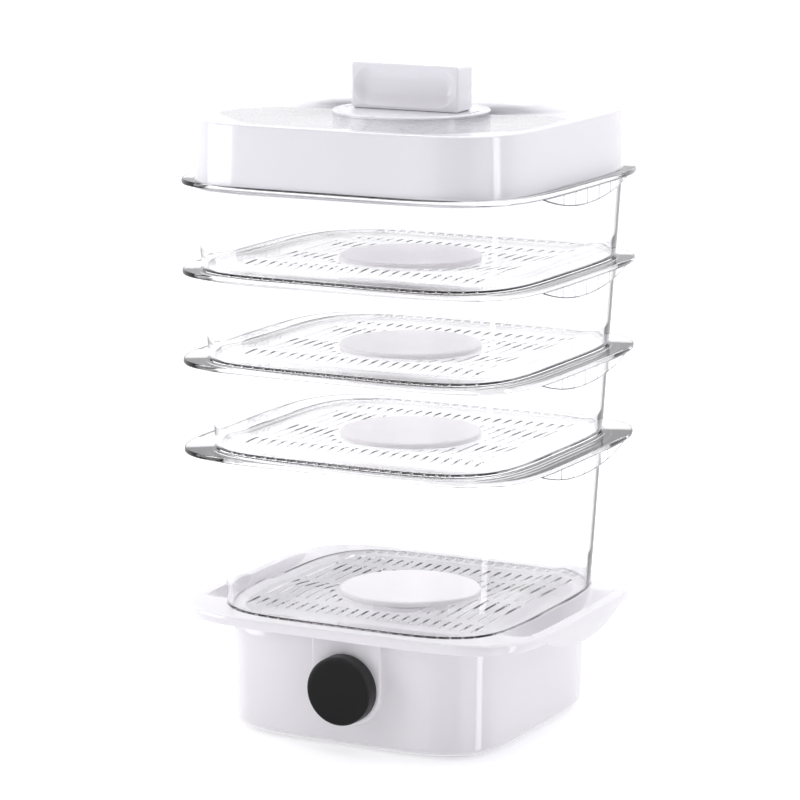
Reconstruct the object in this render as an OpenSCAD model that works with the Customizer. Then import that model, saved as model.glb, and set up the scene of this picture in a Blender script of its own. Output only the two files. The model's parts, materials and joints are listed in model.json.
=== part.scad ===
// Electric food steamer: heated water base, drip tray, four clear tiers that
// nest when not in use, and an opal lid with a block handle.
// Millimetres. +Z is up, the knob faces -Y, and the origin is under the middle
// of the base, on the surface that it stands on.

/* [Outline] */
// Width across the ears of a tier
ear_span = 285; // [284:1:300]
// Front to back size of a tier's flange
flange_depth = 270; // [270:1:280]
// Width and depth of the lowest tier at its floor
tier_w = 231; // [228:1:232]
// Draft angle of the tier walls, in degrees
draft = 3.2; // [3:0.1:3.4]
// Squareness of the body outlines
body_power = 4.6; // [4:0.1:5]
// Squareness of the flange and tray outlines
flange_power = 5; // [5:0.5:7]

/* [Heights] */
// Height of the lowest tier's floor above the table
tier_z = 91; // [90:1:94]
// Height of the lowest tier
low_tier_h = 120; // [100:1:125]
// Height of each upper tier
tier_h = 66; // [60:1:70]
// Height of the lid shell
lid_h = 45; // [40:1:52]

/* [Walls] */
// Wall thickness of the tiers
tier_wall = 2.2; // [2:0.1:2.5]
// Floor thickness of the tiers
floor_t = 2.4; // [2.2:0.1:3]
// Wall thickness of the lid
lid_wall = 2.6; // [2.4:0.1:3]
// Wall thickness of the base housing
base_wall = 2.8; // [2.5:0.1:3]

/* [Slots] */
// Columns of slots in each floor
slot_columns = 23; // [19:2:25]
// Distance from one column to the next
slot_pitch = 8.4; // [8:0.1:8.5]
// Width of a slot
slot_w = 2.2; // [1.8:0.1:3]
// Diameter of the plain disc in the middle of each floor
disc_d = 106; // [96:1:108]

/* [Handle and knob] */
// Width of the lid handle
handle_w = 88; // [80:1:92]
// Thickness of the lid handle
handle_t = 23; // [22:1:26]
// Height of the lid handle
handle_h = 34; // [30:1:38]
// Diameter of the round plate under the handle
handle_plate_d = 116; // [110:1:120]
// Diameter of the timer knob
knob_d = 51; // [46:1:52]
// Height of the knob's axis above the table
knob_z = 48; // [46:1:49]

/* [Hidden] */

$fn = 48;
cut = 1;                // overshoot of a cutting solid
slab_t = 0.1;           // thickness of the slabs that a hull joins
outline_points = 72;
round_fn = 96;          // segments of large round parts

// Vertical gaps between bodies that rest on each other
rest_gap = 0.3;

// Tiers
tier_half = tier_w / 2;
flange_t = 2.4;         // thickness of the flange
seat_depth = 1.4;       // depth of the step that locates the next tier
seat_clear = 0.6;       // side clearance in that step
lip_drop = 11;          // how far the grip lip hangs at its middle
lip_half = 72;          // half length of the grip lip
lip_t = 2;
lip_ribs = 5;
lip_rib_pitch = 20;
lip_rib_t = 1.4;
lip_rib_reach = 6;
groove_w = 4.4;         // grooves under the floor, one per column
groove_depth = 0.9;
groove_reach = 9;       // how far a groove runs in from the floor's edge
inner_row = [5, 56];    // distances of the slot rows from the middle, along Y
outer_row = [67, 86];
disc_margin = 4;        // plain floor round the disc
slot_min = 8;           // a slot shorter than this is left out
disc_t = 4;
disc_edge = 1.2;
stud_r = 6;

// Drip tray
tray_half = 143.6;
tray_depth_half = 127;
tray_rim_h = 7.6;
tray_wall = 2.4;
tray_rim_w = 8;
tray_seat = tier_z - rest_gap;
tray_top = tray_seat + 2;
tray_floor_z = tier_z - 22;     // underside of the pan
pan_half = 107.4;
pan_step_z = tray_seat - tray_wall;
boat_drop = 21;         // depth of a boat-shaped ear, from just above the rim's top
boat_half = 82;
boat_inner_x = 113.5;   // the ear starts here, clear of the housing
chimney_r = 26;
chimney_h = 15;

// Base housing
base_top = pan_step_z - rest_gap;
foot_h = 3;
base_low_half = 110;
base_top_half = 111.6;
base_round = 5;
cover_half = 99.6;
cover_t = 2.6;
cover_z = foot_h;
ledge_z = tier_z - 26;          // ledge that carries the tank
ledge_w = 3;
ledge_t = 2.4;
post_x = 92;            // screw posts of the bottom cover
post_y = 58;
post_r = 5;
post_top = 17;
pilot_r = 1.3;
screw_r = 1.25;
screw_clear_r = 1.7;
pad_half = 28;
pad_front_y = -115;
knob_x = 6;

// Tank
tank_t = 2.2;
tank_flange_half = base_top_half - base_wall - 1.6;
tank_x_half = 96;
tank_y_half = 84;
tank_y = 14;
tank_floor_z = 18;      // underside of the tank
heater_r = 36;
heater_boss_r = 30;
heater_rim_t = 2.4;
heater_screw_ring = 28.4;

// Timer
timer_face_y = -106.6;  // rear of the front wall, where the timer sits
timer_w = 44;
timer_deep = 24;
timer_h = 36;
timer_below = 24;       // how far the timer reaches below its shaft
timer_screw_x = 19;
shaft_r = 3;
shaft_clear = 0.05;
knob_deep = 13;
knob_back_y = pad_front_y - 0.6;
knob_wall = 2.6;
knob_hub_r = 6.5;
knob_bevel = 2;
knob_face_t = 4;        // thickness left in front of the shaft's tip

// Lid
lid_low_half = tier_half + (low_tier_h + 3 * tier_h) * tan(draft);
lid_z = tier_z + low_tier_h + 3 * tier_h;
lid_top_half = lid_low_half - 1.4;
lid_top = lid_z + lid_h;
lid_edge = 1.6;
plate_t = 2;
handle_z = lid_top + plate_t;
handle_screw_x = 26;
scoop_depth = 5;
scoop_margin = 2.2;
vent_x = 50.5;
vent_r = 1.6;
vent_pitch = 6.5;

// Screws, feet, seal and bush
screw_head_r = 2.9;
screw_head_h = 1.4;
timer_head_r = 2.6;
timer_head_in = 2.2;
foot_xy = 76;
foot_r = 9;
foot_stud_r = 2.9;
vent_slots = 2;
seal_t = 1.5;
element_r = 3;
element_ring = 22;
ring_t = 1.6;
steam_ring_r = 52;
steam_ring_h = 26;
thermostat_h = 6;
fuse_r = 2.2;
fuse_x = 12;
pin_h = 5;
bush_x = 58;
bush_z = 22;
bush_r = 6.5;
wire_r = 1.1;

// Colours
opal = [0.93, 0.92, 0.95];
clear = [0.86, 0.9, 0.92, 0.35];
metal = [0.75, 0.76, 0.78];

// ---- Outlines and shells ---------------------------------------------

function bent(v, p) = sign(v) * pow(abs(v), p);

// Points of a superellipse, which is a square with soft corners and bowed sides
function outline(hx, hy, power) = [
    for (i = [0 : outline_points - 1])
    let (a = 360 * i / outline_points)
    [hx * bent(cos(a), 2 / power), hy * bent(sin(a), 2 / power)]
];

// Straight-sided plate on an outline
module plate(hx, hy, z, h, power = body_power) {
    translate([0, 0, z]) linear_extrude(h) polygon(outline(hx, hy, power));
}

// Tapered block between two half sizes
module tub(low, high, z0, z1) {
    translate([0, 0, z0])
    linear_extrude(z1 - z0, scale = high / low)
    polygon(outline(low, low, body_power));
}

// Convex block through levels of [half size, z]
module loft(levels) {
    hull() {
        for (l = levels) plate(l[0], l[0], l[1] - slab_t, slab_t);
    }
}

// Upright cylinder at a point
module post(x, y, z, r, h) {
    translate([x, y, z]) cylinder(h = h, r = r);
}

// Cylinder along Y from a start y
module y_rod(x, y, z, r, l) {
    translate([x, y, z]) rotate([-90, 0, 0]) cylinder(h = l, r = r);
}

// Lens along X that hangs `drop` below z over a half length
module lens(z, half, drop, x0, x1) {
    r = (half * half + drop * drop) / (2 * drop);
    translate([x0, 0, z - drop + r]) rotate([0, 90, 0]) cylinder(h = x1 - x0, r = r, $fn = round_fn);
}

module mirror_x() {
    children();
    mirror([1, 0, 0]) children();
}

// Pan-head screw, head down or up
module screw(r, l, head_r, head_h) {
    cylinder(h = l, r = r);
    translate([0, 0, -head_h]) cylinder(h = head_h, r = head_r);
}

// ---- Tiers ---------------------------------------------------------------

function tier_bottom(k) = k == 1 ? tier_z : tier_z + low_tier_h + (k - 2) * tier_h;
function tier_height(k) = k == 1 ? low_tier_h : tier_h;
function half_at(z) = tier_half + (z - tier_z) * tan(draft);

// Half slot: one end of a row, from y0 to y1
module slot(x, y0, y1) {
    translate([x - slot_w / 2, y0 + slot_w / 2]) square([slot_w, y1 - y0 - slot_w]);
    translate([x, y0 + slot_w / 2]) circle(slot_w / 2, $fn = 16);
    translate([x, y1 - slot_w / 2]) circle(slot_w / 2, $fn = 16);
}

// Slots of one floor, clipped round the plain middle
module slot_field() {
    keep = disc_d / 2 + disc_margin;
    for (i = [0 : slot_columns - 1]) {
        x = (i - (slot_columns - 1) / 2) * slot_pitch;
        near = abs(x) < keep ? sqrt(keep * keep - x * x) : 0;
        start = max(inner_row[0], near);
        for (side = [0, 1]) mirror([0, side]) {
            if (inner_row[1] - start > slot_min) slot(x, start, inner_row[1]);
            slot(x, outer_row[0], outer_row[1]);
        }
    }
}

module floor_grooves(half, z) {
    for (i = [0 : slot_columns - 1], side = [0, 1]) {
        x = (i - (slot_columns - 1) / 2) * slot_pitch;
        mirror([0, side, 0])
        translate([x - groove_w / 2, half - groove_reach, z - cut])
        cube([groove_w, groove_reach + cut, groove_depth + cut]);
    }
}

// Curved lip with ribs that hangs under an ear
module grip_lip(z) {
    intersection() {
        lens(z, lip_half, lip_drop, ear_span / 2 - 30, ear_span / 2);
        union() {
            difference() {
                plate(ear_span / 2, flange_depth / 2, z - lip_drop - cut, lip_drop + cut, flange_power);
                plate(ear_span / 2 - lip_t, flange_depth / 2, z - lip_drop - 2 * cut,
                    lip_drop + 3 * cut, flange_power);
            }
            for (i = [0 : lip_ribs - 1])
            translate([ear_span / 2 - lip_rib_reach - lip_t, (i - (lip_ribs - 1) / 2) * lip_rib_pitch
                - lip_rib_t / 2, z - lip_drop]) cube([lip_rib_reach + lip_t - 0.6, lip_rib_t, lip_drop]);
        }
    }
}

module tier(k) {
    z0 = tier_bottom(k);
    seat = z0 + tier_height(k) - rest_gap;
    next_half = half_at(z0 + tier_height(k));
    difference() {
        union() {
            difference() {
                union() {
                    tub(half_at(z0), half_at(seat), z0, seat);
                    plate(ear_span / 2, flange_depth / 2, seat - flange_t, flange_t + seat_depth,
                        flange_power);
                }
                tub(half_at(z0 + floor_t) - tier_wall, half_at(seat + cut) - tier_wall,
                    z0 + floor_t, seat + cut);
                plate(next_half + seat_clear, next_half + seat_clear, seat, seat_depth + cut);
            }
            mirror_x() grip_lip(seat - flange_t + 0.2);
        }
        translate([0, 0, z0 - cut]) linear_extrude(floor_t + 2 * cut) slot_field();
        floor_grooves(half_at(z0), z0);
        post(0, 0, z0 - cut, stud_r + 0.1, floor_t + 2 * cut);
    }
}

// Opal disc that clips into a tier's floor with a stud
module center_disc(k) {
    z = tier_bottom(k) + floor_t;
    r = disc_d / 2;
    color(opal) translate([0, 0, z]) {
        rotate_extrude($fn = round_fn)
        polygon([[0, 0], [r, 0], [r, disc_t - disc_edge], [r - disc_edge / 2, disc_t - disc_edge / 4],
            [r - disc_edge, disc_t], [0, disc_t]]);
        translate([0, 0, -floor_t]) cylinder(h = floor_t, r = stud_r);
    }
}

module tier_1() { color(clear) tier(1); }
module tier_2() { color(clear) tier(2); }
module tier_3() { color(clear) tier(3); }
module tier_4() { color(clear) tier(4); }

module center_disc_1() { center_disc(1); }
module center_disc_2() { center_disc(2); }
module center_disc_3() { center_disc(3); }
module center_disc_4() { center_disc(4); }

// ---- Drip tray -----------------------------------------------------------

// Boat-shaped ear: its outer solid when inset is 0, or its hollow
module boat(inset) {
    rim = inset > 0 ? tray_rim_w : 0.3;
    z_low = tray_top - boat_drop;
    z_high = inset > 0 ? tray_top + cut : tray_top - 1;
    intersection() {
        plate(tray_half - rim, tray_depth_half - rim, z_low, z_high - z_low, flange_power);
        lens(tray_top + cut, boat_half - inset, boat_drop - inset, boat_inner_x + inset, tray_half);
    }
}

module drip_tray() {
    rim_low = tray_top - tray_rim_h;
    color(opal) difference() {
        union() {
            difference() {
                plate(tray_half, tray_depth_half, rim_low, tray_rim_h, flange_power);
                plate(tray_half - tray_wall, tray_depth_half - tray_wall, rim_low - cut,
                    pan_step_z - rim_low + cut, flange_power);
            }
            plate(pan_half, pan_half, tray_floor_z, pan_step_z + 1 - tray_floor_z);
            mirror_x() boat(0);
        }
        plate(tier_half + seat_clear, tier_half + seat_clear, tray_seat, tray_top - tray_seat + cut);
        difference() {
            plate(pan_half - tray_wall, pan_half - tray_wall, tray_floor_z + tray_wall,
                tray_seat - tray_floor_z - tray_wall + cut);
            post(0, 0, tray_floor_z, chimney_r + tray_wall, chimney_h);
        }
        post(0, 0, tray_floor_z - cut, chimney_r, chimney_h + 2 * cut);
        mirror_x() boat(tray_wall);
    }
}

// ---- Base housing --------------------------------------------------------

// Tongue-shaped outline in the XZ plane, extruded from y0 to y1
module tongue(half, y0, y1) {
    translate([knob_x, y1, 0]) rotate([90, 0, 0]) linear_extrude(y1 - y0) {
        translate([0, knob_z]) circle(half, $fn = round_fn);
        translate([-half, knob_z]) square([2 * half, base_top - 2.6 - knob_z]);
    }
}

module post_at_corners() {
    for (sx = [-1, 1], sy = [-1, 1]) translate([sx * post_x, sy * post_y, 0]) children();
}

module base_housing() {
    z_low = foot_h - 0.4;
    post_low = cover_z + cover_t;
    inner_half = base_top_half - base_wall;
    color(opal) difference() {
        union() {
            difference() {
                union() {
                    loft([
                        [base_low_half - base_round, z_low + slab_t],
                        [base_low_half - base_round * 0.29, z_low + base_round * 0.29],
                        [base_low_half, z_low + base_round],
                        [base_top_half, base_top]
                    ]);
                    tongue(pad_half, pad_front_y, timer_face_y);
                }
                loft([
                    [base_low_half - base_round - base_wall, post_low],
                    [base_low_half - base_wall, post_low + base_round],
                    [inner_half, base_top + cut]
                ]);
                plate(cover_half + rest_gap, cover_half + rest_gap, 0, cover_z + cover_t + cut);
            }
            difference() {
                plate(inner_half + 0.6, inner_half + 0.6, ledge_z - ledge_t, ledge_t);
                plate(inner_half - ledge_w, inner_half - ledge_w, ledge_z - ledge_t - cut, ledge_t + 2 * cut);
            }
            translate([knob_x - timer_w / 2 - 2, timer_face_y - 3, knob_z - timer_below - 2])
            cube([timer_w + 4, 3, ledge_z - 1 - (knob_z - timer_below - 2)]);
            post_at_corners() translate([0, 0, post_low]) cylinder(h = post_top - post_low, r = post_r);
            for (sx = [-1, 1], sy = [-1, 1])
            translate([sx > 0 ? post_x : -base_low_half + 1.5, sy * post_y - 1.5, post_low + base_round])
            cube([base_low_half - post_x - 1.5, 3, post_top - post_low - base_round]);
        }
        post_at_corners() cylinder(h = post_top - 2, r = pilot_r);
        y_rod(knob_x, pad_front_y - cut, knob_z, shaft_r + 3.6, 20);
        for (x = [knob_x - timer_screw_x, knob_x + timer_screw_x]) {
            y_rod(x, pad_front_y - cut, knob_z, screw_clear_r, 20);
            y_rod(x, pad_front_y - cut, knob_z, timer_head_r + 0.2, timer_head_in + cut);
        }
        y_rod(bush_x, base_low_half - 12, bush_z, bush_r, 20);
    }
}

module bottom_cover() {
    color([0.82, 0.82, 0.84]) difference() {
        plate(cover_half, cover_half, cover_z, cover_t);
        post_at_corners() cylinder(h = 20, r = screw_clear_r);
        post_at_corners() translate([0, 0, cover_z - cut])
        cylinder(h = cut + screw_head_h, r = screw_head_r + 0.2);
        foot_places() cylinder(h = 20, r = foot_stud_r + 0.1);
        for (i = [-vent_slots : vent_slots])
        translate([i * 12 - 2, -8, cover_z - cut]) cube([4, 46, cover_t + 2 * cut]);
    }
}

module bottom_screws() {
    color(metal) post_at_corners()
    translate([0, 0, cover_z + screw_head_h]) screw(screw_r, 9.6, screw_head_r, screw_head_h - 0.2);
}

module foot_places() {
    for (sx = [-1, 1], sy = [-1, 1]) translate([sx * foot_xy, sy * foot_xy, 0]) children();
}

module rubber_feet() {
    color([0.15, 0.15, 0.16]) foot_places() {
        cylinder(h = foot_h, r = foot_r);
        cylinder(h = foot_h + cover_t + 1, r = foot_stud_r);
    }
}

// ---- Water tank and heater -----------------------------------------------

module water_tank() {
    z_top = ledge_z + tank_t;
    color([0.9, 0.9, 0.92]) difference() {
        union() {
            plate(tank_flange_half, tank_flange_half, ledge_z, tank_t);
            translate([0, tank_y, 0]) plate(tank_x_half, tank_y_half, tank_floor_z, z_top - tank_floor_z);
        }
        translate([0, tank_y, 0]) plate(tank_x_half - tank_t, tank_y_half - tank_t, tank_floor_z + tank_t,
            z_top - tank_floor_z);
        post(0, tank_y, tank_floor_z - cut, heater_boss_r + 2, tank_t + 2 * cut);
    }
}

module at_heater(z) {
    translate([0, tank_y, z]) children();
}

module heater_screw_places() {
    for (a = [30, 150, 270]) rotate([0, 0, a]) translate([heater_screw_ring, 0, 0]) children();
}

// Cast plate that closes the hole in the tank's floor, with a boss through it
module heater_plate() {
    rim_z = tank_floor_z + tank_t + seal_t;
    color(metal) at_heater(0) difference() {
        union() {
            translate([0, 0, rim_z]) cylinder(h = heater_rim_t, r = heater_r, $fn = round_fn);
            translate([0, 0, tank_floor_z])
            cylinder(h = rim_z - tank_floor_z, r = heater_boss_r, $fn = round_fn);
        }
        heater_screw_places() translate([0, 0, tank_floor_z - cut]) cylinder(h = 4 + cut, r = pilot_r);
    }
}

module heater_seal() {
    color([0.8, 0.3, 0.25]) at_heater(tank_floor_z + tank_t) difference() {
        cylinder(h = seal_t, r = heater_r, $fn = round_fn);
        translate([0, 0, -cut]) cylinder(h = seal_t + 2 * cut, r = heater_boss_r + 1, $fn = round_fn);
    }
}

// Sheathed element: an open ring of tube under the plate, with a pin at each end
module heater_element() {
    color(metal) at_heater(tank_floor_z - element_r) {
        rotate([0, 0, 120]) rotate_extrude(angle = 300, $fn = round_fn)
        translate([element_ring, 0]) circle(element_r, $fn = 24);
        for (a = [60, 120]) rotate([0, 0, a]) translate([element_ring, 0, -pin_h])
        cylinder(h = pin_h, r = element_r - 0.8);
    }
}

// Ring that the plate's screws pull up against the underside of the tank
module heater_ring() {
    color(metal) at_heater(tank_floor_z - ring_t) difference() {
        cylinder(h = ring_t, r = heater_r + 6, $fn = round_fn);
        translate([0, 0, -cut])
        cylinder(h = ring_t + 2 * cut, r = element_ring + element_r + 0.4, $fn = round_fn);
        heater_screw_places() translate([0, 0, -cut]) cylinder(h = ring_t + 2 * cut, r = screw_clear_r);
    }
}

module heater_screws() {
    color(metal) at_heater(tank_floor_z - ring_t) heater_screw_places()
    screw(screw_r, ring_t + 3.6, 2.2, 1.6);
}

// Loose ring with notches at its foot, which speeds up the first steam
module steam_ring() {
    color(opal) at_heater(tank_floor_z + tank_t + rest_gap) difference() {
        cylinder(h = steam_ring_h, r = steam_ring_r, $fn = round_fn);
        translate([0, 0, -cut]) cylinder(h = steam_ring_h + 2 * cut, r = steam_ring_r - 2, $fn = round_fn);
        for (a = [0 : 60 : 300]) rotate([0, 0, a]) translate([0, -5, -cut])
        cube([steam_ring_r + cut, 10, 5 + cut]);
    }
}

module thermostat() {
    color(metal) at_heater(tank_floor_z - thermostat_h) cylinder(h = thermostat_h, r = 9);
}

module thermal_fuse() {
    color([0.3, 0.3, 0.32]) translate([fuse_x, tank_y - 6, tank_floor_z - fuse_r])
    rotate([-90, 0, 0]) cylinder(h = 12, r = fuse_r);
}

// Bridge that presses the thermostat against the plate
module sensor_clamp() {
    half = 18;
    color(metal) at_heater(tank_floor_z - thermostat_h - 1) {
        translate([-half, -5, 0]) cube([2 * half, 10, 1]);
        for (x = [-half, half - 1.5]) translate([x, -5, 0]) cube([1.5, 10, thermostat_h + 1]);
    }
}

// ---- Electrics -----------------------------------------------------------

module terminal_block() {
    color([0.9, 0.88, 0.8]) difference() {
        translate([bush_x - 16, 70, cover_z + cover_t]) cube([30, 12, 9]);
        for (i = [-1 : 1]) translate([bush_x + i * 10, 76, cover_z + cover_t + 4]) cylinder(h = 10, r = 2);
    }
}

// Bush in the rear wall where the mains cord enters
module cord_bush() {
    color([0.2, 0.2, 0.2]) difference() {
        union() {
            y_rod(bush_x, base_low_half - 8, bush_z, bush_r - 0.1, 12);
            y_rod(bush_x, base_low_half - 0.3, bush_z, bush_r + 1.6, 2.8);
            y_rod(bush_x, base_low_half - 8, bush_z, bush_r + 1, 3);
        }
        y_rod(bush_x, base_low_half - 10, bush_z, 3, 20);
    }
}

// Straight stretches of wire that overlap a little at each bend
module wire(points) {
    for (i = [0 : len(points) - 2]) {
        d = points[i + 1] - points[i];
        l = norm(d);
        translate(points[i]) rotate([0, acos(d[2] / l), atan2(d[1], d[0])])
        translate([0, 0, -wire_r / 2]) cylinder(h = l + wire_r, r = wire_r, $fn = 8);
    }
}

// Terminal block to timer, timer to thermostat, thermostat to fuse, and the
// two leads of the heating element
module internal_wires() {
    z = cover_z + cover_t + 1.6;
    timer_z = knob_z - timer_below - wire_r / 2;
    stat_z = tank_floor_z - thermostat_h - wire_r / 2;
    pin_z = tank_floor_z - element_r - pin_h - wire_r / 2;
    fuse_z = tank_floor_z - fuse_r;
    pin_x = element_ring * sin(30);
    pin_y = tank_y + element_ring * cos(30);
    color([0.75, 0.2, 0.15]) {
        wire([[bush_x - 10, 68, z], [-60, 68, z], [-60, -70, z], [-10, -92, z], [-10, -92, timer_z]]);
        wire([[22, -92, timer_z], [22, -92, z], [22, -20, z], [-4, 7, z], [-4, 7, stat_z]]);
        wire([[4, 7, stat_z], [4, 7, z + 1.8], [fuse_x, 6.9, z + 1.8], [fuse_x, 6.9, fuse_z]]);
        wire([[fuse_x, 21.1, fuse_z], [fuse_x, 21.1, z], [-pin_x, pin_y, z], [-pin_x, pin_y, pin_z]]);
        wire([[bush_x, 68, z], [bush_x, 52, z], [pin_x, pin_y, z], [pin_x, pin_y, pin_z]]);
    }
}

// ---- Timer ---------------------------------------------------------------

module timer_body() {
    color([0.85, 0.85, 0.8]) difference() {
        union() {
            translate([knob_x - timer_w / 2, timer_face_y, knob_z - timer_below])
            cube([timer_w, timer_deep, timer_h]);
            y_rod(knob_x, pad_front_y + 1.5, knob_z, shaft_r + 3.4, timer_face_y - pad_front_y);
        }
        y_rod(knob_x, pad_front_y, knob_z, shaft_r + shaft_clear, timer_face_y - pad_front_y + 16);
        for (sx = [-1, 1]) y_rod(knob_x + sx * timer_screw_x, timer_face_y - cut, knob_z, pilot_r, 8 + cut);
    }
}

module timer_screws() {
    color(metal) for (sx = [-1, 1])
    translate([knob_x + sx * timer_screw_x, pad_front_y + timer_head_in, knob_z]) rotate([-90, 0, 0])
    screw(screw_r, 13, timer_head_r, 1.4);
}

module timer_shaft() {
    y_tip = knob_back_y - knob_deep + knob_face_t;
    color(metal) y_rod(knob_x, y_tip, knob_z, shaft_r, timer_face_y + 14 - y_tip);
}

module timer_knob() {
    r = knob_d / 2;
    inner = knob_deep - knob_wall;
    blind = knob_deep - knob_face_t;
    nip = knob_bevel * 0.3;
    color([0.1, 0.1, 0.11]) translate([knob_x, knob_back_y, knob_z]) rotate([90, 0, 0])
    rotate_extrude($fn = round_fn) polygon([
        [shaft_r, 1], [knob_hub_r, 1], [knob_hub_r, inner], [r - knob_wall, inner], [r - knob_wall, 0],
        [r, 0], [r, knob_deep - knob_bevel], [r - nip, knob_deep - nip], [r - knob_bevel, knob_deep],
        [0, knob_deep], [0, blind], [shaft_r, blind]
    ]);
}

// ---- Lid -----------------------------------------------------------------

module lid_shell() {
    color(opal) difference() {
        loft([
            [lid_low_half, lid_z + slab_t],
            [lid_top_half, lid_top - lid_edge],
            [lid_top_half - lid_edge * 0.3, lid_top - lid_edge * 0.3],
            [lid_top_half - lid_edge, lid_top]
        ]);
        tub(lid_low_half - lid_wall, lid_top_half - lid_wall, lid_z - slab_t, lid_top - lid_wall);
        handle_holes() cylinder(h = lid_h, r = screw_clear_r);
        vent_holes();
    }
}

module handle_holes() {
    for (sx = [-1, 1]) translate([sx * handle_screw_x, 0, lid_top - lid_h / 2]) children();
}

module vent_holes() {
    for (sx = [-1, 1], i = [-1 : 1])
    post(sx * vent_x, i * vent_pitch, lid_top - lid_h / 2, vent_r, lid_h);
}

module handle_plate() {
    r = handle_plate_d / 2;
    color(opal) difference() {
        translate([0, 0, lid_top]) rotate_extrude($fn = round_fn)
        polygon([[0, 0], [r, 0], [r, 1.4], [r - 0.6, plate_t], [r - 1.8, plate_t], [r - 2.4, plate_t - 0.8],
            [r - 4, plate_t - 0.8], [r - 5, plate_t], [0, plate_t]]);
        handle_holes() cylinder(h = lid_h, r = screw_clear_r);
        vent_holes();
    }
}

// Pair of short rods along Y at the ends of a stadium outline, shrunk by g
module scoop_ends(g, y) {
    r = handle_h / 2 - scoop_margin;
    x = handle_w / 2 - scoop_margin - r;
    for (sx = [-1, 1]) y_rod(sx * x, y, handle_z + handle_h / 2, r - g, slab_t);
}

// Finger recess in the front face of the handle
module scoop() {
    y_face = -handle_t / 2;
    hull() {
        scoop_ends(-0.4, y_face - cut);
        scoop_ends(0, y_face);
        scoop_ends(2.5, y_face + scoop_depth * 0.7);
        scoop_ends(7, y_face + scoop_depth - slab_t);
    }
}

module lid_handle() {
    cavity = handle_t - 2 * scoop_depth - 2 * 2.4;
    color(opal) difference() {
        translate([-handle_w / 2, -handle_t / 2, handle_z]) cube([handle_w, handle_t, handle_h]);
        scoop();
        mirror([0, 1, 0]) scoop();
        difference() {
            translate([-handle_w / 2 + 3, -cavity / 2, handle_z - cut])
            cube([handle_w - 6, cavity, handle_h - 3 + cut]);
            for (sx = [-1, 1]) post(sx * handle_screw_x, 0, handle_z, 4.4, handle_h);
        }
        for (sx = [-1, 1]) post(sx * handle_screw_x, 0, handle_z - cut, pilot_r, 16 + cut);
    }
}

module handle_screws() {
    color(metal) for (sx = [-1, 1])
    translate([sx * handle_screw_x, 0, lid_top - lid_wall]) screw(screw_r, 16, 3.4, 1.8);
}

base_housing();
bottom_cover();
bottom_screws();
rubber_feet();
water_tank();
steam_ring();
heater_plate();
heater_element();
heater_seal();
heater_ring();
heater_screws();
thermostat();
thermal_fuse();
sensor_clamp();
terminal_block();
cord_bush();
internal_wires();
timer_body();
timer_screws();
timer_shaft();
timer_knob();
drip_tray();
tier_1();
tier_2();
tier_3();
tier_4();
center_disc_1();
center_disc_2();
center_disc_3();
center_disc_4();
lid_shell();
handle_screws();
handle_plate();
lid_handle();
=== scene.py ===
"""Looks of the electric food steamer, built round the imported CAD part.

Lengths in the shape code are millimetres and are turned into metres by MM.
Camera, lights and fine bumps are in metres.
"""

import json
import math

import bpy
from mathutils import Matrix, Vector
from mathutils.geometry import delaunay_2d_cdt

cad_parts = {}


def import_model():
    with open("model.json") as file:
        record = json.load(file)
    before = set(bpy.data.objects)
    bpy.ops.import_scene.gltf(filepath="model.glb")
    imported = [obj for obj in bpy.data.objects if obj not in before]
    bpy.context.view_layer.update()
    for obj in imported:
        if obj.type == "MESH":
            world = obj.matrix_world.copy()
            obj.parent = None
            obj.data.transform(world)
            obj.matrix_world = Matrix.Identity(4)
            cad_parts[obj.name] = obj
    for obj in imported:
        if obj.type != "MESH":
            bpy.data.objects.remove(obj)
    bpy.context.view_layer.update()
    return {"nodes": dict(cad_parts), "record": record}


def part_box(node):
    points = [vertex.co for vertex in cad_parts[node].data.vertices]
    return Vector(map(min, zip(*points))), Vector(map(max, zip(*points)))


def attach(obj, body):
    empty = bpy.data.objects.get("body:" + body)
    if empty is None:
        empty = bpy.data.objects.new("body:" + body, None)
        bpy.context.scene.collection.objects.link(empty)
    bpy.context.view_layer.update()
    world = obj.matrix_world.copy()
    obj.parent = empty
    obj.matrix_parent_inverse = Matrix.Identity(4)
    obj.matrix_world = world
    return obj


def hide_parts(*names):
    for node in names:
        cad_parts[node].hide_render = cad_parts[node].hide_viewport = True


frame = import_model()
nodes = frame["nodes"]

MM = 0.001
AROUND = 288            # points of a large outline
TIERS = (1, 2, 3, 4)
BODY_POWER = 4.6        # squareness of the bodies' outline, a superellipse
FLANGE_POWER = 5.0      # and of the flanges and ears


def low_z(node):
    """Height of a CAD node's lowest point; this and the three below are in millimetres."""
    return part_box(node)[0].z / MM


def high_z(node):
    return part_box(node)[1].z / MM


def half_x(node):
    low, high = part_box(node)
    return (high.x - low.x) / 2 / MM


def half_y(node):
    low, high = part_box(node)
    return (high.y - low.y) / 2 / MM


# ---- Camera ------------------------------------------------------------------

AZIMUTH, ELEVATION, DISTANCE = math.radians(27.42), math.radians(11.06), 2.617
AIM_HEIGHT, AIM_ASIDE = 0.2395, 0.0084
SENSOR_WIDTH, FOCAL_LENGTH, CLIP_END = 36, 158.8, 60
back = Vector((math.sin(AZIMUTH) * math.cos(ELEVATION), -math.cos(AZIMUTH) * math.cos(ELEVATION),
               math.sin(ELEVATION)))
side = Vector((math.cos(AZIMUTH), math.sin(AZIMUTH), 0))
camera = bpy.data.objects.new("camera", bpy.data.cameras.new("camera"))
bpy.context.scene.collection.objects.link(camera)
camera.data.sensor_width = SENSOR_WIDTH
camera.data.lens = FOCAL_LENGTH
camera.location = Vector((0, 0, AIM_HEIGHT)) + back * DISTANCE - side * AIM_ASIDE
camera.rotation_mode = "QUATERNION"
camera.rotation_quaternion = (-back).to_track_quat("-Z", "Y")
camera.data.clip_end = CLIP_END
bpy.context.scene.camera = camera


# ---- Materials ---------------------------------------------------------------

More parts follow.
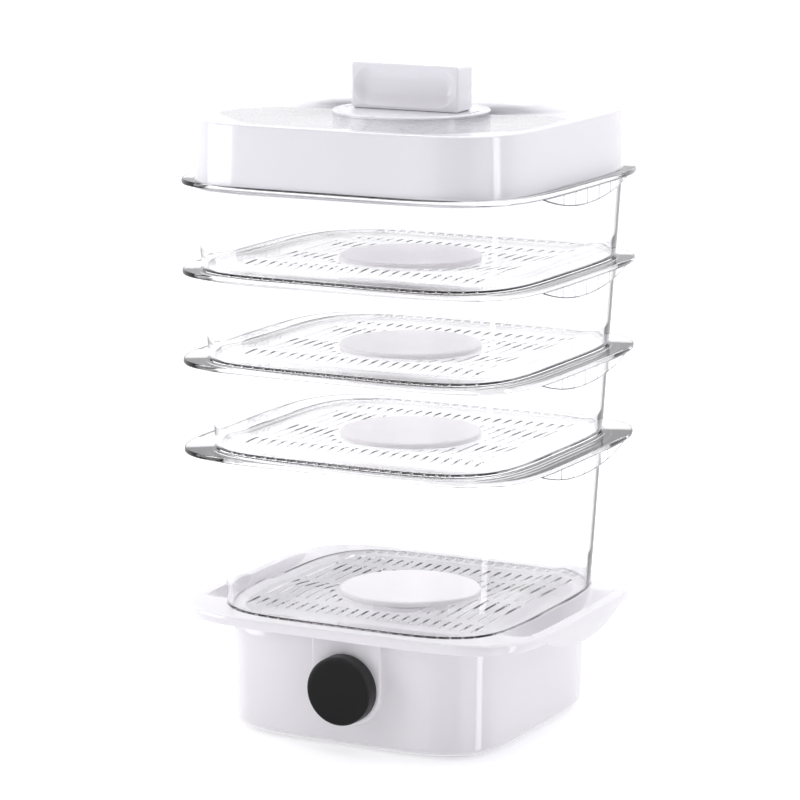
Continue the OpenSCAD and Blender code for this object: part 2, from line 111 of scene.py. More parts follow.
FINE_BUMP, RIPPLE = 0.0002, 0.0004      # heights of the bumps
COAT_ROUGHNESS = 0.06
GLOW_RADIUS = (0.006, 0.006, 0.007)     # how far light spreads inside white plastic
CLEAR_TINT = (0.80, 0.76, 0.76)


class Tree:
    """A new material with its node tree and a few short cuts."""

    def __init__(self, name):
        self.material = bpy.data.materials.new(name)
        self.material.use_nodes = True
        self.nodes = self.material.node_tree.nodes
        self.links = self.material.node_tree.links
        self.shader = self.nodes["Principled BSDF"]

    def add(self, kind):
        return self.nodes.new(kind)

    def join(self, source, target, socket):
        self.links.new(source, target.inputs[socket])

    def noise(self, scale, detail=3.0, rough=0.5, stretch=(1, 1, 1)):
        """Noise in object space, which can be stretched along an axis."""
        where = self.add("ShaderNodeTexCoord")
        mapping = self.add("ShaderNodeMapping")
        mapping.inputs["Scale"].default_value = stretch
        self.join(where.outputs["Object"], mapping, "Vector")
        node = self.add("ShaderNodeTexNoise")
        node.inputs["Scale"].default_value = scale
        node.inputs["Detail"].default_value = detail
        node.inputs["Roughness"].default_value = rough
        self.join(mapping.outputs["Vector"], node, "Vector")
        return node.outputs["Fac"]

    def remap(self, source, low, high):
        """Spreads the middle of a noise, where nearly all of it lies, between two values."""
        node = self.add("ShaderNodeMapRange")
        node.inputs["From Min"].default_value = 0.3
        node.inputs["From Max"].default_value = 0.7
        node.inputs["To Min"].default_value = low
        node.inputs["To Max"].default_value = high
        self.join(source, node, "Value")
        return node.outputs["Result"]

    def blend(self, source, first, second):
        """Colour between two, by a value."""
        node = self.add("ShaderNodeMix")
        node.data_type = "RGBA"
        node.inputs["A"].default_value = (*first, 1)
        node.inputs["B"].default_value = (*second, 1)
        self.join(source, node, "Factor")
        return node.outputs["Result"]

    def bumps(self, source, strength, depth):
        """Fine relief on the surface, as high as depth."""
        node = self.add("ShaderNodeBump")
        node.inputs["Strength"].default_value = strength
        node.inputs["Distance"].default_value = depth
        self.join(source, node, "Height")
        self.join(node.outputs["Normal"], self.shader, "Normal")

    def value(self, **values):
        """Sets plain values on the shader, with _ for a space in their names."""
        for key, value in values.items():
            self.shader.inputs[key.replace("_", " ")].default_value = value


def moulded(name, colour, rough, spread=0.03, grain=260, grain_strength=0.002, coat=0.0, soft=0.0):
    """Injection-moulded plastic: faint flow shading, uneven gloss and a fine grain."""
    tree = Tree(name)
    flow = tree.noise(scale=9, detail=2.0, rough=0.4, stretch=(1, 1, 0.5))
    darker = tuple(c * 0.985 for c in colour)
    tree.join(tree.blend(flow, darker, colour), tree.shader, "Base Color")
    gloss = tree.noise(scale=35)
    tree.join(tree.remap(gloss, rough - spread, rough + spread), tree.shader, "Roughness")
    tree.bumps(tree.noise(scale=grain, detail=4.0, rough=0.6), grain_strength, FINE_BUMP)
    tree.value(IOR=1.5)
    if coat:
        tree.shader.inputs["Coat Weight"].default_value = coat
        tree.shader.inputs["Coat Roughness"].default_value = COAT_ROUGHNESS
    if soft:
        tree.shader.inputs["Subsurface Weight"].default_value = soft
        tree.shader.inputs["Subsurface Radius"].default_value = GLOW_RADIUS
    return tree.material


def clear_plastic(name, colour, density):
    """Clear polycarbonate with faint moulding ripples; long paths through it look grey-brown."""
    tree = Tree(name)
    flow = tree.noise(scale=14, detail=2.0)
    darker = tuple(c * 0.995 for c in colour)
    tree.join(tree.blend(flow, darker, colour), tree.shader, "Base Color")
    tree.join(tree.remap(tree.noise(scale=40, detail=2.0), 0.0, 0.02), tree.shader, "Roughness")
    tree.bumps(tree.noise(scale=26, detail=2.0, rough=0.4), 0.06, RIPPLE)
    tree.value(IOR=1.53)
    tree.shader.inputs["Transmission Weight"].default_value = 1.0
    inside = tree.add("ShaderNodeVolumeAbsorption")
    inside.inputs["Color"].default_value = (*CLEAR_TINT, 1)
    inside.inputs["Density"].default_value = density
    output = tree.nodes["Material Output"]
    tree.links.new(inside.outputs["Volume"], output.inputs["Volume"])
    return tree.material


def metal(name, colour, rough, stretch=(1, 1, 1), scale=120):
    """Bare metal, darker in places; drawn or turned when the noise is stretched."""
    tree = Tree(name)
    stain = tree.noise(scale=30)
    darker = tuple(c * 0.9 for c in colour)
    tree.join(tree.blend(stain, darker, colour), tree.shader, "Base Color")
    gloss = tree.noise(scale, stretch=stretch)
    tree.join(tree.remap(gloss, rough - 0.07, rough + 0.07), tree.shader, "Roughness")
    tree.bumps(tree.noise(scale * 2, rough=0.6, stretch=stretch), 0.15, FINE_BUMP)
    tree.shader.inputs["Metallic"].default_value = 1.0
    return tree.material


WHITE = moulded("white_gloss", (0.80, 0.785, 0.815), 0.13, 0.02, coat=0.4, soft=0.05)
OPAL = moulded("opal_gloss", (0.80, 0.79, 0.83), 0.12, 0.02, coat=0.4, soft=0.08)
# Handle: the lid's opal plastic, painted lighter; the extra brightness is painted light for the shade on
# its front.
HANDLE_OPAL_PAINTED_LIGHTER = moulded("handle_opal_painted_lighter", (0.90, 0.89, 0.92), 0.13, 0.02, coat=0.4, soft=0.1)
# Discs: their own pale opal colour, lifted further as painted light for the shade inside the stacked
# containers.
DISC_OPAL_PAINTED_LIGHTER = moulded("opal_disc_painted_lighter", (0.88, 0.86, 0.885), 0.22, 0.03, soft=0.05)
CLEAR = clear_plastic("clear_pc", (0.985, 0.985, 0.99), 9.0)
BLACK = moulded("black_satin", (0.010, 0.010, 0.011), 0.46, 0.05, grain=700, grain_strength=0.15)
BLACK.node_tree.nodes["Principled BSDF"].inputs["Specular IOR Level"].default_value = 0.35
TANK = moulded("tank_natural", (0.74, 0.74, 0.76), 0.36, 0.05, grain=400, grain_strength=0.15)
GREY = moulded("cover_matt", (0.70, 0.70, 0.72), 0.5, 0.06, grain=500, grain_strength=0.4)
IVORY = moulded("ivory_matt", (0.72, 0.69, 0.58), 0.5, 0.05, grain=500, grain_strength=0.3)
DARK = moulded("dark_matt", (0.03, 0.03, 0.03), 0.5, 0.06, grain=600, grain_strength=0.3)
RUBBER = moulded("rubber_soft", (0.03, 0.03, 0.031), 0.72, 0.06, grain=900, grain_strength=0.5)
SILICONE = moulded("silicone_red", (0.42, 0.06, 0.045), 0.55, 0.05, grain=500, grain_strength=0.3)
WIRE = moulded("wire_red", (0.45, 0.03, 0.02), 0.42, 0.04, grain=500, grain_strength=0.2)
STEEL = metal("steel_zinc", (0.62, 0.62, 0.64), 0.3, stretch=(1, 1, 6))
CAST = metal("cast_plate_metal", (0.60, 0.60, 0.62), 0.42, scale=300)

BY_SLOT = {
    "white_plastic": WHITE, "opal_plastic": OPAL, "clear_plastic": CLEAR, "black_plastic": BLACK,
    "tank_plastic": TANK, "grey_plastic": GREY, "ivory_plastic": IVORY, "dark_plastic": DARK,
    "steel": STEEL, "cast_plate": CAST, "silicone": SILICONE, "rubber": RUBBER, "wire_cover": WIRE,
}
SLOT_OF = {entry["node"]: entry["material_slot"] for entry in frame["record"]["subparts"]}
for node_name, thing in nodes.items():
    thing.data.materials.clear()
    thing.data.materials.append(BY_SLOT[SLOT_OF[node_name]])


# ---- Shape helpers -------------------------------------------------------------


def outline(hx, hy, power, z):
    """Ring of a superellipse at a height; z may be a function of (x, y)."""
    ring = []
    for i in range(AROUND):
        a = 2 * math.pi * i / AROUND
        c, s = math.cos(a), math.sin(a)
        r = (abs(c / hx) ** power + abs(s / hy) ** power) ** (-1 / power)
        x, y = r * c, r * s
        ring.append((x, y, z(x, y) if callable(z) else z))
    return ring


def body(half, z):
    """Ring of a body, which is as deep as it is wide."""
    return outline(half, half, BODY_POWER, z)


def circle(radius, z, cx=0.0, cy=0.0, n=AROUND):
    """Ring of a circle at a height."""
    turns = [2 * math.pi * i / n for i in range(n)]
    return [(cx + radius * math.cos(a), cy + radius * math.sin(a), z) for a in turns]


class Shape:
    """Vertices and faces collected in millimetres, and turned into one object."""

    def __init__(self):
        self.points, self.faces = [], []

    def ring(self, points):
        """Adds a ring's points, and returns their indices."""
        start = len(self.points)
        self.points.extend(points)
        return list(range(start, start + len(points)))

    def strip(self, first, second):
        """Band of faces between two rings of the same count."""
        n = len(first)
        for i in range(n):
            j = (i + 1) % n
            self.faces.append((first[i], first[j], second[j], second[i]))

    def loft(self, rings, closed=False):
        """Joins a list of rings, and the last to the first if it is closed. Returns their indices."""
        made = [self.ring(r) for r in rings]
        for a, b in zip(made, made[1:]):
            self.strip(a, b)
        if closed:
            self.strip(made[-1], made[0])
        return made

    def cap(self, ring, up=True):
        self.faces.append(tuple(ring) if up else tuple(reversed(ring)))

    def sheet(self, edge, holes, inside_hole, up=True):
        """Flat face inside the ring `edge`, left open in the rings of `holes`."""
        order = list(edge) + [i for h in holes for i in h]
        flat = [Vector(self.points[i][:2]) for i in order]
        lines, start = [], 0
        for loop in [edge, *holes]:
            n = len(loop)
            lines += [(start + i, start + (i + 1) % n) for i in range(n)]
            start += n
        corners, _, triangles, source, _, _ = delaunay_2d_cdt(flat, lines, [], 0, 1e-5)
        for t in triangles:
            centre = sum((corners[i] for i in t), Vector((0, 0))) / len(t)
            if inside_hole(centre.x, centre.y):
                continue
            face = [order[source[i][0]] for i in t]
            self.faces.append(tuple(face if up else reversed(face)))

    def block(self, low, high):
        """Small six-sided block, for ribs."""
        (x0, y0, z0), (x1, y1, z1) = low, high
        b = len(self.points)
        self.points += [(x0, y0, z0), (x1, y0, z0), (x1, y1, z0), (x0, y1, z0),
                        (x0, y0, z1), (x1, y0, z1), (x1, y1, z1), (x0, y1, z1)]
        for f in ((0, 3, 2, 1), (4, 5, 6, 7), (0, 1, 5, 4), (1, 2, 6, 5), (2, 3, 7, 6), (3, 0, 4, 7)):
            self.faces.append(tuple(b + i for i in f))

    def build(self, name, material, sharp=32):
        """The finished object, smooth but for edges sharper than an angle in degrees."""
        mesh = bpy.data.meshes.new(name)
        mesh.from_pydata([Vector(p) * MM for p in self.points], [], self.faces)
        mesh.validate()
        mesh.polygons.foreach_set("use_smooth", [True] * len(mesh.polygons))
        mesh.set_sharp_from_angle(angle=math.radians(sharp))
        mesh.materials.append(material)
        thing = bpy.data.objects.new(name, mesh)
        bpy.context.scene.collection.objects.link(thing)
        return thing


def place(thing, body_name, slot, *stands_for):
    """Puts a piece on a body, in place of the named CAD nodes; the slot argument is not used."""
    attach(thing, body_name)
    if stands_for:
        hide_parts(*stands_for)
    return thing


def lets_light_through(thing):
    """Leaves a clear or opal piece out of the shadows, as the soft light goes through it."""
    thing.visible_shadow = False
    return thing


def quarter(cx, cz, radius, start, end, steps=4):
    """Points (offset, height) on an arc, in degrees, counted from the outward direction."""
    return [(cx + radius * math.cos(math.radians(start + (end - start) * k / steps)),
             cz + radius * math.sin(math.radians(start + (end - start) * k / steps)))
            for k in range(steps + 1)]


# ---- Clear tiers -----------------------------------------------------------------

DRAFT = math.tan(math.radians(3.2))
TIER_HALF, TIER_WALL, TIER_FLOOR = 115.5, 2.2, 2.4
SEAT_DEPTH, SEAT_GAP = 1.4, 0.6         # recess that the next piece stands in
FLANGE_T = 2.4
SLOT_COLUMNS, SLOT_PITCH, SLOT_W = 23, 8.4, 2.2
SLOT_MIN, SLOT_ARC = 8, 5               # a shorter slot isn't made; faces of a round slot end
DISC_R, DISC_MARGIN = 53, 4
INNER_ROW, OUTER_ROW = (5, 56), (67, 86)
EDGE_RIB_H, EDGE_RIB_L, EDGE_RIB_HALF_W, EDGE_RIB_END = 0.9, 7, 2, 95
base_z = low_z("tier_1")


def half_at(z):
    """Half width of the containers at a height; the walls of all four follow one slope."""
    return TIER_HALF + (z - base_z) * DRAFT


def slots():
    """Slots of a floor as (x, low y, high y)."""
    keep, found = DISC_R + DISC_MARGIN, []
    for i in range(SLOT_COLUMNS):
        x = (i - (SLOT_COLUMNS - 1) / 2) * SLOT_PITCH
        near = math.sqrt(keep * keep - x * x) if abs(x) < keep else 0
        start = max(INNER_ROW[0], near)
        rows = [OUTER_ROW] + ([(start, INNER_ROW[1])] if INNER_ROW[1] - start > SLOT_MIN else [])
        for y0, y1 in rows:
            found += [(x, y0, y1), (x, -y1, -y0)]
    return found


def slot_ring(x, y0, y1, z):
    """Ring of one slot, with round ends."""
    r = SLOT_W / 2
    turns = [math.pi * k / SLOT_ARC for k in range(SLOT_ARC + 1)]
    far = [(x + r * math.cos(a), y1 - r + r * math.sin(a), z) for a in turns]
    near = [(x - r * math.cos(a), y0 + r - r * math.sin(a), z) for a in turns]
    return far + near


SLOTS = slots()


def in_slot(x, y):
    """Whether a point of the floor is inside a slot."""
    cx = round(x / SLOT_PITCH) * SLOT_PITCH
    return abs(x - cx) < SLOT_W / 2 and any(
        abs(s[0] - cx) < 0.1 and s[1] < y < s[2] for s in SLOTS)


def tier(k):
    """Container: drafted wall, slotted floor, and a flange that runs out into two ears."""
    node = f"tier_{k}"
    z0, top = low_z(node), high_z(node)
    seat = top - SEAT_DEPTH
    under = seat - FLANGE_T
    span, depth = half_x(node), half_y(node)
    floor_low, floor_top = z0 + EDGE_RIB_H, z0 + TIER_FLOOR
    recess = half_at(seat + 0.3) + SEAT_GAP
    shape = Shape()

    def flange(inset, z):
        return outline(span - inset, depth - inset, FLANGE_POWER, z)

    def wall(z, inset=0.0):
        return body(half_at(z) - inset, z)

    outer = [wall(floor_low, 1.4), wall(floor_low + 0.4, 0.45), wall(floor_low + 1.4)]
    outer += [wall(floor_low + (under - 3 - floor_low) * t) for t in (0.25, 0.5, 0.75, 1.0)]
    outer += [wall(under - 1.5), wall(under - 0.45, -0.45), wall(under, -1.5)]
    outer += [flange(1.3, under), flange(0.5, under + 0.25), flange(0.08, under + 0.9),
              flange(0, under + 1.9), flange(0.08, top - 0.9), flange(0.25, top - 0.35), flange(0.45, top)]
    inner = [body(recess + 0.15, top), body(recess, top - 0.3), body(recess - 0.05, seat),
             wall(seat, TIER_WALL - 0.5), wall(seat - 0.5, TIER_WALL)]
    inner += [wall(seat - 0.5 - (seat - 2.5 - floor_top) * t, TIER_WALL) for t in (0.25, 0.5, 0.75)]
    inner += [wall(floor_top + 2.0, TIER_WALL), wall(floor_top + 0.6, TIER_WALL + 0.6),
              wall(floor_top, TIER_WALL + 2.0)]
    made = shape.loft(outer + inner)
    low_slots = [shape.ring(slot_ring(*s, floor_low)) for s in SLOTS]
    top_slots = [shape.ring(slot_ring(*s, floor_top)) for s in SLOTS]
    shape.sheet(made[0], low_slots, in_slot, up=False)
    shape.sheet(made[-1], top_slots, in_slot)
    for a, b in zip(low_slots, top_slots):
        shape.strip(b, a)
    thing = shape.build(f"tier_{k}_shell", CLEAR)
    return lets_light_through(place(thing, f"container_{k}", "clear_plastic", node))


def edge_ribs(k):
    """Short ribs under the floor along the front and rear edges."""
    z0 = low_z(f"tier_{k}")
    shape = Shape()
    for i in range(SLOT_COLUMNS):
        x = (i - (SLOT_COLUMNS - 1) / 2 + 0.5) * SLOT_PITCH
        if abs(x) > EDGE_RIB_END:
            continue
        y = (1 - (abs(x) / half_at(z0)) ** BODY_POWER) ** (1 / BODY_POWER) * half_at(z0) - 1.6
        for s in (-1, 1):
            y0, y1 = sorted((s * y, s * (y - EDGE_RIB_L)))
            shape.block((x - EDGE_RIB_HALF_W, y0, z0), (x + EDGE_RIB_HALF_W, y1, z0 + EDGE_RIB_H + 0.05))
    thing = shape.build(f"tier_{k}_edge_ribs", CLEAR)
    return lets_light_through(place(thing, f"container_{k}", "clear_plastic"))


LIP_HALF, LIP_DROP, LIP_T, LIP_STEPS = 72.0, 11.0, 2.0, 40
LIP_END = LIP_HALF * 0.985              # stops just short of the tips, where it would be too thin
GRIP_RIB_PITCH, GRIP_RIB_HALF_T, GRIP_RIB_L = 20.0, 0.7, 5.2


def lip_low(y, z, half=LIP_HALF, drop=LIP_DROP):
    """Lower edge of a crescent that hangs from height z: an arc over 2 * half, drop deep in the middle."""
    r = (half * half + drop * drop) / (2 * drop)
    return z - drop + r - math.sqrt(max(r * r - y * y, 0))


def ear_x(span, depth, y):
    """Distance of the flange's outer edge from the middle, at a depth y."""
    return span * (1 - (abs(y) / depth) ** FLANGE_POWER) ** (1 / FLANGE_POWER)


def grip_lips(k):
    """Crescent under each ear, with small ribs behind it."""
    node = f"tier_{k}"
    under = high_z(node) - SEAT_DEPTH - FLANGE_T
    span, depth = half_x(node), half_y(node)
    shape = Shape()
    for s in (-1, 1):
        rings = []
        for i in range(LIP_STEPS + 1):
            y = -LIP_END + 2 * LIP_END * i / LIP_STEPS
            x, z = ear_x(span, depth, y) - 0.25, min(lip_low(y, under), under - 0.3)
            loop = [(x, under + 0.1), (x, z + 0.7), (x - 0.5, z), (x - LIP_T + 0.5, z),
                    (x - LIP_T, z + 0.7), (x - LIP_T, under + 0.1)]
            rings.append([(s * px, y, pz) for px, pz in (loop if s > 0 else loop[::-1])])
        made = shape.loft(rings)
        shape.cap(made[0])
        shape.cap(made[-1], up=False)
        for i in range(-2, 3):
            y = i * GRIP_RIB_PITCH
            x = ear_x(span, depth, y) - LIP_T - 0.1
            x0, x1 = sorted((s * x, s * (x - GRIP_RIB_L)))
            shape.block((x0, y - GRIP_RIB_HALF_T, lip_low(y, under) + 0.3),
                        (x1, y + GRIP_RIB_HALF_T, under + 0.05))
    thing = shape.build(f"tier_{k}_grips", CLEAR)
    return lets_light_through(place(thing, f"container_{k}", "clear_plastic"))


MIN_R = 0.02            # radius of a turned solid's pole


def lathe(profile, name, material, axis="Z", centre=(0, 0, 0), n=128):
    """Turned solid from (radius, height) pairs; with axis -Y the height runs towards the viewer."""
    shape = Shape()
    rings = []
    for r, h in profile:
        ring = circle(max(r, MIN_R), h, n=n)
        if axis == "-Y":
            ring = [(x, -z, y) for x, y, z in ring]
        rings.append([(x + centre[0], y + centre[1], z + centre[2]) for x, y, z in ring])
    made = shape.loft(rings)
    shape.cap(made[0], up=False)
    shape.cap(made[-1])
    return shape.build(name, material)


STUD_R, DISC_EDGE = 5.9, 1.6


def centre_disc(k):
    """Opal disc on a stud that fills the hole in the middle of a floor."""
    node = f"center_disc_{k}"
    low, top = low_z(node), high_z(node)
    z = low + TIER_FLOOR
    profile = [(STUD_R, low + 0.05), (STUD_R, z)]
    profile += [(DISC_R - 0.5, z), (DISC_R - 0.1, z + 0.4), (DISC_R, z + 1.0)]
    profile += quarter(DISC_R - DISC_EDGE, top - DISC_EDGE, DISC_EDGE, 0, 90, 6)
    profile += [(DISC_R - 4, top), (20, top), (MIN_R, top)]
    thing = lathe(profile, f"disc_{k}_opal", DISC_OPAL_PAINTED_LIGHTER)
    return lets_light_through(place(thing, f"container_{k}", "opal_plastic", node))


for number in TIERS:
    tier(number)
    edge_ribs(number)
    grip_lips(number)
    centre_disc(number)


# ---- Lid ---------------------------------------------------------------------------

VENT_X, VENT_PITCH, VENT_R = 50.5, 6.5, 1.6


def lid():
    """Opal shell with a soft upper edge and three small vents at each side of the handle."""
    z0, top = low_z("lid_shell"), high_z("lid_shell")
    low_half = half_x("lid_shell")
    top_half = low_half - 1.4
    wall, edge = 2.6, 1.6
    tall = top - edge - z0

    def half(z):
        return low_half + (top_half - low_half) * (z - z0) / tall

    shape = Shape()
    rings = [body(low_half - wall + 0.5, z0), body(low_half - 0.5, z0), body(low_half - 0.1, z0 + 0.5)]
    rings += [body(half(z0 + tall * t), z0 + tall * t) for t in (0.05, 0.3, 0.6, 0.85, 1.0)]
    rings += [body(r, z) for r, z in quarter(top_half - edge, top - edge, edge, 12, 90, 5)]
    rings += [body(top_half - edge - 2, top)]
    made = shape.loft(rings)
    inner = [body(half(z0) - wall, z0 + 0.5), body(half(top - 8) - wall, top - 8)]
    inner += [body(r, z) for r, z in quarter(top_half - wall - 3, top - wall - 3, 3, 0, 90, 4)]
    inner = shape.loft(inner)
    shape.strip(inner[0], made[0])
    spots = [(sx * VENT_X, i * VENT_PITCH) for sx in (-1, 1) for i in (-1, 0, 1)]
    highs = [shape.ring(circle(VENT_R, top, x, y, 20)) for x, y in spots]
    lows = [shape.ring(circle(VENT_R, top - wall, x, y, 20)) for x, y in spots]

    def inside(x, y):
        return any((x - a) ** 2 + (y - b) ** 2 < (VENT_R - 0.1) ** 2 for a, b in spots)

    shape.sheet(made[-1], highs, inside)
    shape.sheet(inner[-1], lows, inside, up=False)
    for a, b in zip(highs, lows):
        shape.strip(a, b)
    thing = shape.build("lid_opal", OPAL, 40)
    return lets_light_through(place(thing, "lid", "opal_plastic", "lid_shell"))


CORNER_STEPS = 8


def rounded(hx, hz, radius):
    """Corner arcs of a rounded rectangle in the XZ plane."""
    points = []
    for cx, cz, start in ((hx - radius, hz - radius, 0), (radius - hx, hz - radius, 90),
                          (radius - hx, radius - hz, 180), (hx - radius, radius - hz, 270)):
        for k in range(CORNER_STEPS + 1):
            a = math.radians(start + 90 * k / CORNER_STEPS)
            points.append((cx + radius * math.cos(a), cz + radius * math.sin(a)))
    return points


def handle():
    """Block with soft edges and a stadium-shaped finger recess on each face."""
    low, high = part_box("lid_handle")
    hx, hy, hz = (high - low) / 2 / MM
    cz = (high.z + low.z) / 2 / MM
    margin, depth, soft = 2.6, 5.0, 1.7
    scoop, slope, corner = hz - margin, 9.5, 3.2
    shape = Shape()

    def level(inset, y, is_scoop):
        """Ring at a depth y: of the stadium if it is the scoop's, or else of the block."""
        if is_scoop:
            core = rounded(hx - margin - inset, scoop - inset, scoop - inset - 0.01)
        else:
            core = rounded(hx - inset, hz - inset, corner - min(inset, 2.4))
        return [(x, y, z + cz) for x, z in core]

    front = [(slope * (1 - t), depth * (1 - t * t), True) for t in (k / 6 for k in range(6))]
    front += [(0.5, 0.55, True), (0.12, 0.15, True), (-0.35, 0.0, True)]
    side_steps = [(soft, 0.0), (soft * 0.62, soft * 0.08), (soft * 0.29, soft * 0.29),
                  (soft * 0.08, soft * 0.62), (0.0, soft)]
    rings = [level(i, -hy + d, s) for i, d, s in front]
    rings += [level(i, -hy + d, False) for i, d in side_steps]
    rings += [level(i, hy - d, False) for i, d in reversed(side_steps)]
    rings += [level(i, hy - d, s) for i, d, s in reversed(front)]
    made = shape.loft([r[::-1] for r in rings])
    shape.cap(made[0], up=False)
    shape.cap(made[-1])
    return place(shape.build("handle_block", HANDLE_OPAL_PAINTED_LIGHTER, 50), "lid", "opal_plastic", "lid_handle")


lid()
handle()


# ---- Drip tray ---------------------------------------------------------------------

HOLLOW_HALF, HOLLOW_DROP = 79.6, 18.6   # arc of an ear's hollow, along and below the rim
BELLY_HALF, BELLY_DROP = 82, 21         # arc of its underside
# Across an ear, from its outer edge to the seat: share of the way, and share of the hollow's depth
HOLLOW_PROFILE = ((0, 0), (0.025, 0.15), (0.06, 0.55), (0.12, 0.85), (0.24, 1), (0.5, 1), (0.76, 1),
                  (0.88, 0.93), (0.95, 0.7), (0.985, 0.25), (1, 0))


def tray():
    """Tray with a wide rim, two boat-shaped ears, and a steam port in the middle."""
    node = "drip_tray"
    top = high_z(node)
    span, depth = half_x(node), half_y(node)
    rim_low, seat, floor_low = top - 7.6, top - 2.0, top - 23.7
    pan, chimney, wall = 107.4, 26.0, 2.4
    seat_half = TIER_HALF + 0.6
    shape = Shape()

    def rim(inset, z):
        return outline(span - inset, depth - inset, FLANGE_POWER, z)

    def dip(y):
        """Depth of an ear's hollow below the rim's top."""
        if abs(y) >= HOLLOW_HALF:
            return 0.0
        return max(0.0, top - lip_low(y, top + 1, HOLLOW_HALF, HOLLOW_DROP))

    def belly(x, y):
        """Height of the outside of an ear's bottom, or the rim's own lower edge."""
        if abs(x) < 100 or abs(y) > BELLY_HALF - 1:
            return rim_low
        return min(rim_low, lip_low(y, top + 1, BELLY_HALF, BELLY_DROP))

    def under(x, y):
        """Height of the inside of the rim's lower face, level with its outside at an ear."""
        z = belly(x, y)
        return z if z < rim_low else seat - wall

    outer = [rim(1.2, belly), rim(0.35, lambda x, y: belly(x, y) + 0.35),
             rim(0, lambda x, y: belly(x, y) + 1.2), rim(0, top - 1.9)]
    outer += [outline(span - 1.9 + r, depth - 1.9 + r, FLANGE_POWER, z)
              for r, z in quarter(0, top - 1.9, 1.9, 15, 90, 5)]
    outside, inside = rim(8.0, top), body(seat_half + 0.2, top)
    hollow = []
    for t, share in HOLLOW_PROFILE:
        ring = []
        for a, b in zip(outside, inside):
            x, y = a[0] + (b[0] - a[0]) * t, a[1] + (b[1] - a[1]) * t
            sunk = dip(y) * share if abs(x) > 110 else 0.0
            ring.append((x, y, top - sunk))
        hollow.append(ring)
    pan_in = pan - wall
    bowl = [body(seat_half, top - 0.3), body(seat_half - 0.2, seat), body(pan_in + 0.8, seat),
            body(pan_in, seat - 0.8), body(pan_in - 0.4, floor_low + wall + 3),
            body(pan_in - 1.4, floor_low + wall + 0.9), body(pan_in - 4, floor_low + wall)]
    port = [circle(chimney + r, floor_low + z)
            for r, z in ((wall + 2, wall), (wall + 0.4, wall + 1.6), (wall, 14), (wall - 0.8, 15),
                         (0.8, 15), (0, 14.2), (0, 0))]
    below = [body(pan - 3, floor_low), body(pan - 0.8, floor_low + 0.9), body(pan, floor_low + 3),
             body(pan, seat - wall), outline(113.6, pan + 6, BODY_POWER, seat - wall),
             outline(114, pan + 6.4, BODY_POWER, under), rim(2.4, under), rim(2.2, belly)]
    shape.loft(outer + hollow + bowl + port + below, closed=True)
    return place(shape.build("tray_white", WHITE, 38), "tray", "white_plastic", node)


tray()


# ---- Base --------------------------------------------------------------------------


def housing():
    """Base shell with a soft lower edge, an inner ledge and an open bottom."""
    node = "base_housing"
    z0, top = low_z(node), high_z(node)
    low_half, top_half, wall, soft = 110.0, half_x(node), 2.8, 5.0
    ledge, opening = top - 23.0, 99.9

    def half(z):
        return low_half + (top_half - low_half) * (z - z0 - soft) / (top - z0 - soft)

    shape = Shape()
    outer = [body(r, z) for r, z in quarter(low_half - soft, z0 + soft, soft, -90, 0, 8)]
    outer += [body(half(z0 + (top - z0) * t), z0 + (top - z0) * t) for t in (0.2, 0.4, 0.6, 0.8)]
    outer += [body(top_half, top - 0.7), body(top_half - 0.2, top - 0.2), body(top_half - 0.7, top)]
    inner_half = top_half - wall
    inner = [body(inner_half + 0.4, top), body(inner_half, top - 0.5), body(inner_half - 0.2, ledge + 0.2),
             body(inner_half - 3, ledge), body(inner_half - 3, ledge - 2.4),
             body(inner_half - 0.5, ledge - 2.4), body(low_half - wall, z0 + 9),
             body(low_half - wall - 1.5, z0 + 4.5), body(low_half - wall - 5, z0 + 3),
             body(opening, z0 + 3), body(opening, z0)]
    shape.loft(outer + inner, closed=True)
    return place(shape.build("housing_white", WHITE, 38), "base", "white_plastic", node)


KNOB_X, KNOB_Z = 6.0, 48.0
PAD_HALF, PAD_Y, PAD_STEPS = 28.0, -115.0, 32


def pad():
    """Raised tongue from the rim down and round the timer knob."""
    top = high_z("base_housing") - 2.6

    def level(grow, y):
        """Ring at a depth y: half a circle below, and straight sides up to the rim."""
        r = PAD_HALF + grow
        ring = []
        for k in range(PAD_STEPS + 1):
            a = math.radians(180 + 180 * k / PAD_STEPS)
            ring.append((KNOB_X + r * math.cos(a), y, KNOB_Z + r * math.sin(a)))
        for t in (0.33, 0.66, 1.0):
            ring.append((KNOB_X + r, y, KNOB_Z + (top + min(grow, 0) - KNOB_Z) * t))
        for t in (0.0, 0.33, 0.66):
            ring.append((KNOB_X - r, y, top + min(grow, 0) + (KNOB_Z - top) * t))
        return ring

    shape = Shape()
    rings = [level(1.6, -108.4), level(0.7, -110.6), level(0.2, -111.6), level(0, PAD_Y + 1.6),
             level(-0.25, PAD_Y + 0.7), level(-0.75, PAD_Y + 0.2), level(-1.6, PAD_Y), level(-14, PAD_Y)]
    made = shape.loft(rings)
    shape.cap(made[0], up=False)
    shape.cap(made[-1])
    return place(shape.build("pad_white", WHITE, 38), "base", "white_plastic")


def knob():
    """Plain round knob with a rounded edge and a slightly domed face."""
    low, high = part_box("timer_knob")
    deep = (high.y - low.y) / MM
    r = (high.z - low.z) / 2 / MM
    centre = ((low.x + high.x) / 2 / MM, high.y / MM, (low.z + high.z) / 2 / MM)
    profile = [(r - 2.4, 0.3), (r - 0.6, 0.0), (r - 0.15, 0.15), (r, 0.6), (r - 0.1, deep - 3.0)]
    profile += quarter(r - 2.2, deep - 2.6, 2.1, 0, 70, 6)
    profile += [(r - 2.4, deep - 0.5), (r - 3.4, deep - 0.35), (r - 5.5, deep - 0.25), (12, deep - 0.1),
                (4, deep), (MIN_R, deep)]
    thing = lathe(profile, "knob_black", BLACK, "-Y", centre, 160)
    return place(thing, "knob", "black_plastic", "timer_knob")


housing()
pad()
knob()


# ---- Floor and light ---------------------------------------------------------------

FLOOR_HALF, FLOOR_CELLS, FLOOR_Z, FLOOR_GLOW = 9000.0, 12, -0.05, 0.32


